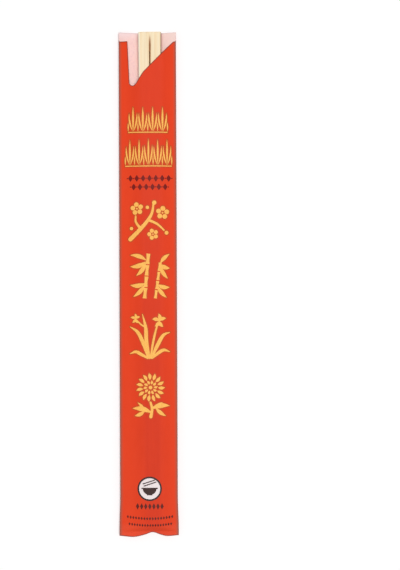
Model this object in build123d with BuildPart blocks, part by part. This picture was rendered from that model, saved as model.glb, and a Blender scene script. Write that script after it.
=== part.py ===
from build123d import *
import os
from math import atan2, cos, hypot, sin, sqrt

# A strip of bamboo twin chopsticks, not yet split, in an open-topped paper sleeve.
# All sizes are in millimetres. The packet lies on its back panel: +Z is up, +Y runs along the
# length towards the open mouth, and +X is to the right of someone looking down on the front.
# The origin is the middle of the underside.

# Twin chopsticks: one strip of bamboo, two sticks still joined at the head
stick_length = 230.0
head_width = 10.7  # across both sticks
tip_width = 7.3
head_thickness = 5.0
tip_thickness = 4.2
head_corner = 0.7  # radius of the long edges
tip_corner = 1.3
head_chamfer = 0.3
tip_chamfer = 0.6
kerf_width = 0.5  # the saw cut that parts the sticks
kerf_start = 9.0  # solid wood left above the saw cut
groove_width = 0.9  # the V along the cut, on both faces
groove_depth = 0.6
groove_start = 0.7  # where the V runs out below the head
groove_run_out = 5.0

# How the pair lies in the sleeve: a little to the right, and slightly askew
head_offset = 1.15  # the pair's middle from the sleeve's middle
tip_offset = 1.95
front_slack = 0.1  # air between the sticks and the front panel

# Paper sleeve: one sheet folded to a flat tube and glued along its back
paper = 0.15
sleeve_length = 235.0
panel_width = 27.6  # between the side folds where the tube is flat
lap_gap = 0.2  # from the pair's head to the free edge of the back panel, which lies beside it
lap_width = 7.0  # how far the glue tab reaches under the back panel
closing_gap = 0.2  # from the tips to where the tube starts to close
closing_drop = 2.2  # length over which it closes
front_setback = 4.2  # how far the front panel stops below the back one

# Finger notch: places across the front panel, and depths below its edge
notch_left = -9.2
notch_root = (-8.1, 24.1)
notch_knee = (-2.05, 14.4)
notch_right = 12.25
root_radius = 1.5
knee_radius = 9.3
lip_radius = 1.4

# Wavy bottom edge: places across it, and heights above its lowest point
hem_left_rise = 0.55
hem_wave = [(-6.9, 0.0), (-1.9, 1.05), (1.65, 2.2), (5.6, 0.95), (8.3, 0.35)]
hem_right_rise = 0.75

mouth = sleeve_length / 2
bottom = -sleeve_length / 2
tips = mouth - stick_length
seat = 2 * paper  # the pair rests on the glue tab, which rests on the back panel
fold_height = (seat + head_thickness + front_slack + paper) / 2
closing_start = tips - closing_gap
closing_end = closing_start - closing_drop
closing_slope = (fold_height - paper) / closing_drop
front_edge = mouth - front_setback
free_edge = head_offset + head_width / 2 + lap_gap
skew = atan2(tip_offset - head_offset, stick_length)
clear = 1.0  # how far a cutting shape runs past what it cuts


def fold_reach(width, offset):
    """Half the sleeve's width where its panels are drawn over a pair of this width."""
    spare = (panel_width - width) / 2
    return width / 2 + spare * sqrt(1 - fold_height**2 / (spare**2 - offset**2))


# Cross-sections of the packet: place along it, the pair's width, thickness and offset there, and
# half the sleeve's width
sections = [
    (mouth, head_width, head_thickness, head_offset, fold_reach(head_width, head_offset)),
    (closing_start, tip_width, tip_thickness, tip_offset, fold_reach(tip_width, tip_offset)),
    (closing_end, tip_width, tip_thickness, tip_offset, panel_width / 2),
]


def outer_outline(width, thickness, offset, reach):
    """The sleeve's outer outline in one cross-section, with the step at the back panel's free edge."""
    left, right = offset - width / 2, offset + width / 2
    top = seat + thickness + front_slack + paper
    return [
        (left, 0),
        (free_edge, 0),
        (free_edge, paper),
        (reach, fold_height),
        (right, top),
        (left, top),
        (-reach, fold_height),
    ]


def inner_outline(width, thickness, offset, reach):
    """The sleeve's inner outline there, one thickness of paper in, with the step of the glue tab."""
    left, right = offset - width / 2, offset + width / 2
    top = seat + thickness + front_slack + paper
    left_slope = fold_height / (left + reach)
    left_spread = left_slope + (top - fold_height) / (left + reach)
    left_fold = 2 * paper / left_spread
    right_slope = (fold_height - paper) / (reach - free_edge)
    right_spread = right_slope + (top - fold_height) / (reach - right)
    right_fold = 2 * paper / right_spread
    return [
        (left, paper),
        (free_edge - lap_width, paper),
        (free_edge - lap_width, seat),
        (free_edge, seat),
        (reach - right_fold, fold_height + paper - right_slope * right_fold),
        (right, top - paper),
        (left, top - paper),
        (left_fold - reach, fold_height + paper - left_slope * left_fold),
    ]


def closing_wedge(apex):
    """Side view of a wedge that opens towards the mouth, with the sleeve's closing slopes."""
    height = 2 * fold_height
    start = apex + height / closing_slope
    end = mouth + clear
    low, high = fold_height - height, fold_height + height
    return [(apex, fold_height), (start, low), (end, low), (end, high), (start, high)]


def groove_outline(surface, depth, side):
    """A V cut into a face of the pair, with its sides carried on past the face."""
    apex = surface - side * depth
    base = surface + side * clear
    half_width = (depth + clear) * groove_width / 2 / groove_depth
    return [(0, apex), (half_width, base), (-half_width, base)]


# Twin chopsticks. The pair's own frame has X across it, Y up from its underside and Z from the
# head to the tips.
across = (cos(skew), sin(skew), 0)
pair_frame = Plane(
    origin=(head_offset, mouth, seat), x_dir=across, z_dir=(sin(skew), -cos(skew), 0)
)
pair_plan = Plane(origin=(head_offset, mouth, seat), x_dir=across, z_dir=(0, 0, 1))

with BuildPart() as twin_chopsticks:
    with BuildSketch(pair_frame):
        RectangleRounded(
            head_width, head_thickness, head_corner, align=(Align.CENTER, Align.MIN)
        )
    with BuildSketch(pair_frame.offset(stick_length)):
        RectangleRounded(tip_width, tip_thickness, tip_corner, align=(Align.CENTER, Align.MIN))
    loft()
    ends = twin_chopsticks.faces().sort_by(Axis.Y)
    tip_edges, head_edges = ends[0].edges(), ends[-1].edges()
    chamfer(head_edges, head_chamfer)
    chamfer(tip_edges, tip_chamfer)

    # The saw cut, right through, from below the head to past the tips
    with BuildSketch(pair_plan):
        with Locations((0, -kerf_start - stick_length / 2)):
            SlotOverall(stick_length, kerf_width, rotation=90)
    extrude(amount=head_thickness, mode=Mode.SUBTRACT)

    # The V along the cut on the upper and lower face, running out just below the head
    for side in (1, -1):
        stations = [
            (groove_start, 0),
            (groove_start + groove_run_out, groove_depth),
            (stick_length + clear, groove_depth),
        ]
        for place, depth in stations:
            taper = (tip_thickness - head_thickness) * place / stick_length
            surface = head_thickness + taper if side > 0 else 0
            with BuildSketch(pair_frame.offset(place)):
                Polygon(*groove_outline(surface, depth, side), align=None)
        loft(ruled=True, mode=Mode.SUBTRACT)
twin_chopsticks.part.label = "twin_chopsticks"

# The room inside the sleeve, which narrows to the glued seam at the bottom
with BuildPart() as room:
    for place, width, thickness, offset, reach in sections:
        with BuildSketch(Plane.XZ.offset(-place)):
            Polygon(*inner_outline(width, thickness, offset, reach), align=None)
    loft(ruled=True)
    inner_apex = closing_end + paper * (hypot(1, closing_slope) - 1) / closing_slope
    with BuildSketch(Plane.YZ):
        Polygon(*closing_wedge(inner_apex), align=None)
    extrude(amount=panel_width, both=True, mode=Mode.INTERSECT)

# Paper sleeve
with BuildPart() as paper_sleeve:
    for place, width, thickness, offset, reach in sections:
        with BuildSketch(Plane.XZ.offset(-place)):
            Polygon(*outer_outline(width, thickness, offset, reach), align=None)
    loft(ruled=True)
    with BuildSketch(Plane.YZ):
        Polygon(*closing_wedge(closing_end - paper / closing_slope), align=None)
    extrude(amount=panel_width, both=True, mode=Mode.INTERSECT)

    # The glued seam, two sheets thick, with its wavy edge
    with BuildSketch(Plane.XY.offset(fold_height - paper)):
        with BuildLine():
            left_end = (-panel_width / 2, bottom + hem_left_rise)
            right_end = (panel_width / 2, bottom + hem_right_rise)
            wave = [(x, bottom + rise) for x, rise in hem_wave]
            Spline(left_end, *wave, right_end, tangents=((1, 0), (1, 0)))
            Polyline(
                right_end,
                (panel_width / 2, closing_end),
                (-panel_width / 2, closing_end),
                left_end,
            )
        make_face()
    extrude(amount=2 * paper)
    add(room.part, mode=Mode.SUBTRACT)

    # The front panel's set-back edge and the finger notch
    with BuildSketch(Plane.XY.offset(fold_height)) as notch:
        with BuildLine():
            root = (notch_root[0], front_edge - notch_root[1])
            knee = (notch_knee[0], front_edge - notch_knee[1])
            lip = (notch_right, front_edge)
            Polyline(
                (-panel_width, front_edge),
                (notch_left, front_edge),
                root,
                knee,
                lip,
                (panel_width, front_edge),
                (panel_width, mouth + clear),
                (-panel_width, mouth + clear),
                close=True,
            )
        make_face()
        for corner, radius in ((root, root_radius), (knee, knee_radius), (lip, lip_radius)):
            fillet(notch.vertices().sort_by_distance(corner)[0], radius)
    extrude(amount=head_thickness, mode=Mode.SUBTRACT)
paper_sleeve.part.label = "paper_sleeve"

os.makedirs("parts", exist_ok=True)
export_step(twin_chopsticks.part, "parts/twin_chopsticks.step")
export_step(paper_sleeve.part, "parts/paper_sleeve.step")
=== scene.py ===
"""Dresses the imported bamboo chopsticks: a printed paper sleeve round a pair that hasn't been split.

Sizes are in millimetres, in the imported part's frame: the packet lies on its back panel, +Z is up,
+Y runs towards the open mouth and +X is to the right of someone looking down on the front.
"""

import logging
import math
from bisect import bisect_left
from dataclasses import dataclass, field, fields
from enum import Enum, IntEnum
from typing import Callable, Iterable, Optional, Sequence, Union

import bmesh
import bpy
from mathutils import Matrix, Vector, geometry

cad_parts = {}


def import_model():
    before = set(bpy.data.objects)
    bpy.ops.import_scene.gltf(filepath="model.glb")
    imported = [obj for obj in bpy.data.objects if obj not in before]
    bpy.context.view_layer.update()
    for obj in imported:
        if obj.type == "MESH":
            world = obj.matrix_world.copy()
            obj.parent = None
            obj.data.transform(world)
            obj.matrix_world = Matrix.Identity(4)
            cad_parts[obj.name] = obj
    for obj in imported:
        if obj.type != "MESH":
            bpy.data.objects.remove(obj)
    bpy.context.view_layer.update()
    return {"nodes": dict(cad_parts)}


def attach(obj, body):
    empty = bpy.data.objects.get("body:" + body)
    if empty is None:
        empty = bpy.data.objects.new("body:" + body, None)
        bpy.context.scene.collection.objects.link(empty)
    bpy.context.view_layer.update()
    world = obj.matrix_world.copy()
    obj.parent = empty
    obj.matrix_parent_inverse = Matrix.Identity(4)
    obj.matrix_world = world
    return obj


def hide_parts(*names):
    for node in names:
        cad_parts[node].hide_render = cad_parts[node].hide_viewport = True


log = logging.getLogger("chopsticks")

MM = 0.001

Colour = tuple[float, float, float]
Point = tuple[float, float]
Place = tuple[float, float, float]
Patches = list[list[Point]]

# Two values between which something comes in, from none of it at the first to all at the second
Span = tuple[float, float]

# The triangulation's setting for triangles, and only inside the patches
TRIANGLES_INSIDE = 1


def srgb(red: int, green: int, blue: int) -> Colour:
    """Turns a colour as a screen shows it, 0 to 255, into the linear one that a shader takes.

    Args:
        red: The red part.
        green: The green part.
        blue: The blue part.

    Returns:
        The linear colour.
    """
    parts = []
    for part in (red, green, blue):
        share = part / 255
        parts.append(share / 12.92 if share <= 0.04045 else ((share + 0.055) / 1.055) ** 2.4)
    return tuple(parts)


def into_scene(name: str, data: bpy.types.ID) -> bpy.types.Object:
    """Puts a mesh, a lamp or a camera into the scene.

    Args:
        name: The new object's name.
        data: The mesh, lamp or camera.

    Returns:
        The object.
    """
    made = bpy.data.objects.new(name, data)
    bpy.context.scene.collection.objects.link(made)
    return made


@dataclass(frozen=True)
class Grain:
    """A random pattern: its patches per millimetre, and the number and strength of finer layers."""

    per_mm: float
    layers: float = 3.0
    strength: float = 0.5


# The paper's fibres, how close they lie across and along, and the flecks in the ink
FIBRE = Grain(5.0, 5.0, 0.62)
FIBRE_ACROSS, FIBRE_ALONG = 1.4, 0.7
FLECK = Grain(3.2, 4.0, 0.6)


class Wire:
    """An output of a shader node, on which Python's own maths adds Math nodes."""

    def __init__(self, bench: "Bench", socket: bpy.types.NodeSocket) -> None:
        """Keeps the bench and the socket."""
        self.bench = bench
        self.socket = socket

    def _math(self, operation: str, *values: "Value") -> "Wire":
        """Adds one Math node of that operation on these values."""
        return self.bench.node("ShaderNodeMath", {"operation": operation}, dict(enumerate(values)))

    def __add__(self, other: "Value") -> "Wire":
        """The sum."""
        return self._math("ADD", self, other)

    __radd__ = __add__

    def __sub__(self, other: "Value") -> "Wire":
        """The difference."""
        return self._math("SUBTRACT", self, other)

    def __rsub__(self, other: "Value") -> "Wire":
        """The difference, the other way round."""
        return self._math("SUBTRACT", other, self)

    def __mul__(self, other: "Value") -> "Wire":
        """The product."""
        return self._math("MULTIPLY", self, other)

    __rmul__ = __mul__

    def __truediv__(self, other: "Value") -> "Wire":
        """The quotient."""
        return self._math("DIVIDE", self, other)

    def size(self) -> "Wire":
        """The value without its sign."""
        return self._math("ABSOLUTE", self)

    def most(self, other: "Value") -> "Wire":
        """The larger of the two."""
        return self._math("MAXIMUM", self, other)

    def rise(self, start: "Value", end: "Value") -> "Wire":
        """Goes smoothly from 0 at the start value to 1 at the end value, which may be the lower one.

        Args:
            start: Where the result is 0.
            end: Where the result is 1.

        Returns:
            The mask.
        """
        sockets = {"Value": self, "From Min": start, "From Max": end}
        settings = {"interpolation_type": "SMOOTHSTEP"}
        return self.bench.node("ShaderNodeMapRange", settings, sockets)


Value = Union[Wire, float, int]
Paint = Union[Wire, Colour]


@dataclass(frozen=True)
class Sway:
    """A number that a pattern moves: what it is where the pattern is 0, and what is added at 1."""

    base: float
    more: float

    def of(self, pattern: Wire) -> Wire:
        """The number under this pattern."""
        return self.base + self.more * pattern


class Bench:
    """The node tree of one material, with a Principled shader to feed."""

    def __init__(self, name: str) -> None:
        """Starts a material of that name.

        Args:
            name: The material's name.
        """
        self.material = bpy.data.materials.new(name)
        self.material.use_nodes = True
        self.tree = self.material.node_tree
        self.shader = self.tree.nodes["Principled BSDF"]

    def join(self, value: Union[Paint, Value], socket: bpy.types.NodeSocket) -> None:
        """Links a wire to a socket, or sets the socket's own value.

        Args:
            value: The wire, colour or number.
            socket: The input that takes it.
        """
        if isinstance(value, Wire):
            self.tree.links.new(value.socket, socket)
        elif isinstance(value, tuple):
            socket.default_value = (*value, 1)
        else:
            socket.default_value = value

    def node(
        self,
        kind: str,
        settings: Optional[dict] = None,
        sockets: Optional[dict] = None,
        output: Union[int, str] = 0,
    ) -> Wire:
        """Adds a node.

        Args:
            kind: The node's type.
            settings: Its properties, set first, with a curve's (x, y) pairs under "points".
            sockets: Values or wires for its inputs, by name or number.
            output: Which output the wire comes from.

        Returns:
            The wire from that output.
        """
        made = self.tree.nodes.new(kind)
        for name, value in (settings or {}).items():
            if name == "points":
                self._set_points(made.mapping, value)
            else:
                setattr(made, name, value)
        for key, value in (sockets or {}).items():
            self.join(value, made.inputs[key])
        return Wire(self, made.outputs[output])

    @staticmethod
    def _set_points(mapping: bpy.types.CurveMapping, points: Sequence[Point]) -> None:
        """Gives a curve these points, joined by straight lines.

        Args:
            mapping: The curve's mapping.
            points: The points, each as (x, y) from 0 to 1.
        """
        curve = mapping.curves[0]
        while len(curve.points) < len(points):
            curve.points.new(0.5, 0.5)
        for point, place in zip(curve.points, points):
            point.location = place
            point.handle_type = "VECTOR"
        mapping.update()

    def place(self) -> tuple[Wire, Wire, Wire]:
        """The point being shaded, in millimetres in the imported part's frame.

        Returns:
            Its x, y and z.
        """
        seen = self.node("ShaderNodeTexCoord", output="Object")
        settings = {"operation": "SCALE"}
        scaled = self.node("ShaderNodeVectorMath", settings, {0: seen, "Scale": 1 / MM})
        parts = [self.node("ShaderNodeSeparateXYZ", sockets={0: scaled}, output=n) for n in range(3)]
        return tuple(parts)

    def vector(self, x: Value, y: Value, z: Value) -> Wire:
        """Puts three numbers together as one vector."""
        return self.node("ShaderNodeCombineXYZ", sockets={0: x, 1: y, 2: z})

    def mottle(self, at: Wire, grain: Grain) -> Wire:
        """Soft random patches from 0 to 1.

        Args:
            at: Where to look them up.
            grain: Their size and finer layers.

        Returns:
            The noise.
        """
        sizes = {"Scale": grain.per_mm, "Detail": grain.layers, "Roughness": grain.strength}
        return self.node("ShaderNodeTexNoise", {"noise_dimensions": "3D"}, {"Vector": at, **sizes})

    def fibres(self, x: Wire, y: Wire, z: Wire) -> Wire:
        """The fine fibres of paper from 0 to 1, which lie more along the sleeve than across it."""
        return self.mottle(self.vector(x * FIBRE_ACROSS, y * FIBRE_ALONG, z), FIBRE)

    def blend(self, share: Value, first: Paint, second: Paint, mode: str = "MIX") -> Wire:
        """Mixes two colours.

        Args:
            share: How much of the second colour there is.
            first: The first colour.
            second: The second colour.
            mode: How they are mixed.

        Returns:
            The mixed colour.
        """
        settings = {"data_type": "RGBA", "blend_type": mode}
        # Inputs 6 and 7 and output 2 are the node's colour sockets.
        return self.node("ShaderNodeMix", settings, {0: share, 6: first, 7: second}, output=2)

    def shade(self, colour: Paint, light: Wire) -> Wire:
        """Makes a colour lighter or darker by a factor near 1."""
        return self.blend(1.0, colour, self.vector(light, light, light), "MULTIPLY")

    def emboss(self, height: Wire, depth: float, below: Optional[Wire] = None) -> Wire:
        """Raises the surface by a height map.

        Args:
            height: The map, from 0 to 1.
            depth: How far 1 stands out, in millimetres.
            below: A coarser relief to add this one to.

        Returns:
            The normal.
        """
        sockets = {"Strength": 1.0, "Distance": depth * MM, "Height": height}
        if below is not None:
            sockets["Normal"] = below
        return self.node("ShaderNodeBump", {}, sockets)

    def finish(self, **inputs: Union[Wire, Colour, float]) -> bpy.types.Material:
        """Feeds the shader and hands the material over.

        Args:
            **inputs: Values or wires by the shader's socket names, with _ for a space.

        Returns:
            The material.
        """
        for name, value in inputs.items():
            self.join(value, self.shader.inputs[name.replace("_", " ")])
        return self.material


def clamp(share: float) -> float:
    """Keeps a share from 0 to 1."""
    return min(1.0, max(0.0, share))


def soft_hinge(distance: float, softness: float) -> float:
    """A ramp that is 0 below the hinge and rises evenly above it, rounded over the softness.

    Args:
        distance: How far past the hinge.
        softness: Half the width of the rounding.

    Returns:
        The ramp's value.
    """
    if distance <= -softness:
        return 0.0
    if distance >= softness:
        return distance
    return (distance + softness) ** 2 / (4 * softness)


def soft_lower(first: float, second: float, softness: float) -> float:
    """The lower of two heights, rounded where they cross.

    Args:
        first: One height.
        second: The other height.
        softness: The difference over which they blend.

    Returns:
        The blended height.
    """
    share = clamp(0.5 + 0.5 * (second - first) / softness)
    return second + (first - second) * share - softness * share * (1 - share)


@dataclass(frozen=True)
class Pair:
    """The twin chopsticks' place and taper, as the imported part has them."""

    head: float = 117.5
    length: float = 230.0
    head_width: float = 10.7
    tip_width: float = 7.3
    head_thickness: float = 5.0
    tip_thickness: float = 4.2
    head_offset: float = 1.15
    tip_offset: float = 1.95
    underside: float = 0.3
    cut_start: float = 9.0
    groove_start: float = 0.7

    def along(self, y: float) -> float:
        """How far down the sticks a place is: 0 at the head and 1 at the tips."""
        return clamp((self.head - y) / self.length)

    def width_at(self, share: Value) -> tuple[Value, Value]:
        """The pair's middle and half its width, this share of the way from its head to its tips."""
        middle = self.head_offset + (self.tip_offset - self.head_offset) * share
        return middle, (self.head_width + (self.tip_width - self.head_width) * share) / 2

    def edges(self, y: float) -> tuple[float, float]:
        """The left and right side of the pair there."""
        middle, half = self.width_at(self.along(y))
        return middle - half, middle + half

    def wired(self, y: Wire) -> tuple[Wire, Wire]:
        """The pair's middle and half its width in a material, at this place along."""
        return self.width_at((self.head - y) / self.length)

    def thickness(self, y: float) -> float:
        """The pair's thickness there."""
        return self.head_thickness + (self.tip_thickness - self.head_thickness) * self.along(y)


@dataclass(frozen=True)
class Notch:
    """The finger notch in the front panel: its corners, as (place across, depth), and roundings."""

    left: float = -9.2
    root: Point = (-8.1, 24.1)
    knee: Point = (-2.05, 14.4)
    right: float = 12.25
    root_radius: float = 1.5
    knee_radius: float = 9.3
    lip_radius: float = 1.4
    left_radius: float = 0.25
    run_on: float = 3.0
    rounding_steps: int = 7

    def corners(self) -> list[tuple[Point, float]]:
        """The outline's corners from left to right.

        Returns:
            Each corner with its radius.
        """
        return [
            ((self.left, 0.0), self.left_radius),
            (self.root, self.root_radius),
            (self.knee, self.knee_radius),
            ((self.right, 0.0), self.lip_radius),
        ]

    def outline(self, steps: Optional[int] = None) -> list[Point]:
        """The notch's edge from left to right, with its corners rounded.

        Args:
            steps: How many points each rounding has, if not the usual number.

        Returns:
            The points, as (place across, depth below the panel's edge).
        """
        steps = steps or self.rounding_steps
        places = [corner for corner, _ in self.corners()]
        before = (self.left - self.run_on, 0.0)
        after = (self.right + self.run_on, 0.0)
        chain = [Vector(place) for place in (before, *places, after)]
        points = []
        for at, (_, radius) in enumerate(self.corners(), start=1):
            corner = chain[at]
            back = (chain[at - 1] - corner).normalized()
            ahead = (chain[at + 1] - corner).normalized()
            half = back.angle(ahead) / 2
            reach = radius / math.tan(half)
            centre = corner + (back + ahead).normalized() * radius / math.sin(half)
            start = corner + back * reach - centre
            end = corner + ahead * reach - centre
            for step in range(steps):
                spoke = start.slerp(end, step / (steps - 1)).normalized()
                point = centre + spoke * radius
                points.append((point.x, point.y))
        return points

    def steep_side(self) -> tuple[float, float]:
        """The places across from the first to the last point of the steep left side's roundings."""
        outline = self.outline()
        return outline[0][0], outline[2 * self.rounding_steps - 1][0]


class Side(Enum):
    """Which face of the flat packet."""

    FRONT = 1
    BACK = -1


@dataclass
class Sheet:
    """One panel as rows and columns of points, with both of its faces."""

    outer: list[list[Place]] = field(default_factory=list)
    inner: list[list[Place]] = field(default_factory=list)
    folded: int = 0


@dataclass(frozen=True)
class Sleeve:
    """The paper sleeve: one printed sheet folded round the pair, lapped behind and closed below."""

    pair: Pair = Pair()
    notch: Notch = Notch()
    mouth: float = 117.5
    bottom: float = -117.5
    paper: float = 0.15
    glue: float = 0.01
    slack: float = 0.1
    half_width: float = 13.8
    mouth_reach: float = 13.32
    tips_reach: float = 13.4
    free_edge: float = 6.7
    lap: float = 7.0
    lap_blend: float = 2.0
    closing_start: float = -112.7
    closing_drop: float = 2.2
    front_closing_drop: float = 3.65
    flare_start: float = -98.0
    front_setback: float = 4.2
    shoulder: float = 84.0
    hem_left_rise: float = 0.55
    hem_wave: tuple[Point, ...] = (
        (-6.9, 0.0),
        (-1.9, 1.05),
        (1.65, 2.2),
        (5.6, 0.95),
        (8.3, 0.35),
    )
    hem_right_rise: float = 0.75
    bend: float = 2.0
    closing_bend: float = 0.5
    front_closing_bend: float = 0.8
    tuck_width: float = 3.0
    most_tuck: float = 0.6
    least_spread: float = 0.05
    past_front: float = 0.01
    closing_step: float = 0.22
    closing_steps: int = 20
    body_steps: int = 92

    @property
    def fold_height(self) -> float:
        """How high the side folds lie."""
        top = self.pair.underside + self.pair.head_thickness + self.slack + self.paper
        return top / 2

    @property
    def closing_end(self) -> float:
        """Where the flat glued seam starts."""
        return self.closing_start - self.closing_drop

    @property
    def front_edge(self) -> float:
        """Where the front panel stops."""
        return self.mouth - self.front_setback

    @property
    def sheet(self) -> float:
        """The thickness of one sheet, without the glue that parts it from the next one."""
        return self.paper - self.glue

    def above_front(self, y: float) -> bool:
        """Whether a place along is past the front panel's edge, where the side folds are cut open."""
        return y > self.front_edge + self.past_front

    def reach(self, y: float) -> float:
        """How far the side folds are from the middle there.

        Args:
            y: The place along.

        Returns:
            The distance.
        """
        share = min(1.0, (self.mouth - y) / (self.mouth - self.closing_start))
        drawn = self.mouth_reach + (self.tips_reach - self.mouth_reach) * share
        flare = clamp((self.flare_start - y) / (self.flare_start - self.closing_end))
        return drawn + (self.half_width - drawn) * flare * flare * (3 - 2 * flare)

    def top_edge(self, x: float) -> float:
        """Where the front panel's cut edge is, at this place across.

        Args:
            x: The place across.

        Returns:
            The place along.
        """
        outline = self.notch.outline()
        places = [point[0] for point in outline]
        if x <= places[0] or x >= places[-1]:
            return self.front_edge
        at = bisect_left(places, x)
        (x0, d0), (x1, d1) = outline[at - 1], outline[at]
        share = (x - x0) / (x1 - x0)
        return self.front_edge - d0 - (d1 - d0) * share

    def hem(self, x: float) -> float:
        """Where the wavy lower edge is, at this place across.

        Args:
            x: The place across.

        Returns:
            The place along.
        """
        ends = ((-self.half_width, self.hem_left_rise), (self.half_width, self.hem_right_rise))
        knots = [ends[0], *self.hem_wave, ends[1]]
        places = [knot[0] for knot in knots]
        at = min(len(knots) - 1, max(1, bisect_left(places, x)))
        slopes = [0.0]
        for before, after in zip(knots, knots[2:]):
            slopes.append((after[1] - before[1]) / (after[0] - before[0]))
        slopes.append(0.0)
        (x0, r0), (x1, r1) = knots[at - 1], knots[at]
        width = x1 - x0
        s = clamp((x - x0) / width)
        rise = r0 * (1 + 2 * s) * (1 - s) ** 2 + r1 * s * s * (3 - 2 * s)
        rise += width * (slopes[at - 1] * s * (1 - s) ** 2 - slopes[at] * s * s * (1 - s))
        return self.bottom + rise

    def _closing(self, y: float, side: Side = Side.BACK) -> float:
        """The most that an outer face stands off the folds' plane, which shrinks at the closing.

        Args:
            y: The place along.
            side: Which panel it is.

        Returns:
            The distance.
        """
        drop = self.front_closing_drop if side is Side.FRONT else self.closing_drop
        slope = (self.fold_height - self.paper) / drop
        return self.paper + slope * max(0.0, y - self.closing_end)

    def _closed(
        self, stand: float, y: float, side: Side = Side.BACK, under: float = 0.0
    ) -> float:
        """How far a face stands off the folds' plane once the closing has pressed it flat.

        Args:
            stand: How far it would stand off without the closing.
            y: The place along.
            side: Which panel it is.
            under: How much lower it lies for a sheet that lies over it.

        Returns:
            The distance from the folds' plane.
        """
        most = self._closing(y, side) - under
        bend = self.front_closing_bend if side is Side.FRONT else self.closing_bend
        return soft_lower(max(0.0, stand), most, min(bend, most))

    def front_height(self, x: float, y: float) -> float:
        """The height of the front panel's printed face.

        Args:
            x: The place across.
            y: The place along.

        Returns:
            The height above the ground.
        """
        left, right = self.pair.edges(y)
        reach = self.reach(y)
        crown = self.pair.underside + self.pair.thickness(y) + self.slack + self.paper
        rise = crown - self.fold_height
        left_slope, right_slope = rise / (left + reach), rise / (reach - right)
        height = left_slope * (x + reach)
        height -= left_slope * soft_hinge(x - left, self.bend)
        height -= right_slope * soft_hinge(x - right, self.bend)
        return self.fold_height + self._closed(height, y, Side.FRONT)

    def back_height(self, x: float, y: float) -> float:
        """The height of the printed face of the back panel and of the strip beside its free edge.

        Args:
            x: The place across.
            y: The place along.

        Returns:
            The height above the ground.
        """
        if x > self.free_edge:
            return self.strip_height(x, y)
        left, _ = self.pair.edges(y)
        reach = self.reach(y)
        slope = self.fold_height / (left + reach)
        drop = slope * (x + reach) - slope * soft_hinge(x - left, self.bend / 2)
        return self.fold_height - self._closed(drop, y)

    def strip_height(self, x: float, y: float) -> float:
        """The height of the printed face between the right fold and the back panel's free edge.

        Args:
            x: The place across.
            y: The place along.

        Returns:
            The height above the ground.
        """
        reach = self.reach(y)
        drop = (self.fold_height - self.paper) * (reach - x) / (reach - self.free_edge)
        near = clamp(1 - (x - self.free_edge) / self.lap_blend)
        return self.fold_height - self._closed(drop, y, under=near * self.paper / 2)

    def tab_height(self, x: float, y: float) -> float:
        """The height of the printed face of the glue tab, which lies on the back panel.

        Args:
            x: The place across.
            y: The place along.

        Returns:
            The height above the ground.
        """
        if x >= self.free_edge:
            return self.strip_height(x, y)
        deep = min(self.fold_height - self.paper, self._closing(y) - self.paper / 2)
        return self.fold_height - deep

    def tuck(self, x: float, y: float) -> float:
        """Moves a place across to where it is on the inner face, a little in at the side folds.

        Args:
            x: The place across.
            y: The place along.

        Returns:
            The place across on the inner face.
        """
        left, right = self.pair.edges(y)
        reach = self.reach(y)
        gap = self._closing(y)
        spread = 2 * min(self.fold_height, gap) / (left + reach if x < 0 else reach - right)
        most = min(self.most_tuck, 2 * self.sheet / max(spread, self.least_spread))
        if self.above_front(y):
            most = self.sheet / 2
        near = clamp((abs(x) - reach + self.tuck_width) / self.tuck_width)
        return x - math.copysign(most * near * near, x)

    def inner_height(self, x: float, y: float, outer: float, side: Side, at_fold: bool) -> float:
        """The height of a panel's inner face.

        Args:
            x: The place across.
            y: The place along.
            outer: The height of the panel's printed face there.
            side: Which way the printed face looks.
            at_fold: Whether the point is on a side fold, where both panels' inner faces meet.

        Returns:
            The height above the ground.
        """
        if at_fold and not self.above_front(y):
            return (self.front_height(x, y) + self.back_height(x, y)) / 2
        return outer - side.value * self.sheet

    def closing_rows(self) -> list[float]:
        """The close rows of points over the bend at the closing, from the seam's top up."""
        steps = range(self.closing_steps)
        return [self.closing_end + self.closing_step * step for step in steps]

    def rows(self) -> list[float]:
        """The places along at which the panels have points, from the seam's top to the shoulder.

        Returns:
            The places, from low to high.
        """
        closing = self.closing_rows()
        first = closing[-1]
        step = (self.shoulder - first) / self.body_steps
        return closing + [first + step * number for number in range(1, self.body_steps + 1)]

    def across(self, column: float, y: float, kept: float) -> float:
        """Where a column of points lies, as the folds draw apart below the mouth.

        Args:
            column: Its place across at the mouth.
            y: The place along.
            kept: The place across that stays where it is.

        Returns:
            The place across.
        """
        fold = math.copysign(1.0, column - kept)
        span = fold * self.mouth_reach - kept
        return kept + (column - kept) * (fold * self.reach(y) - kept) / span


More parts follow.
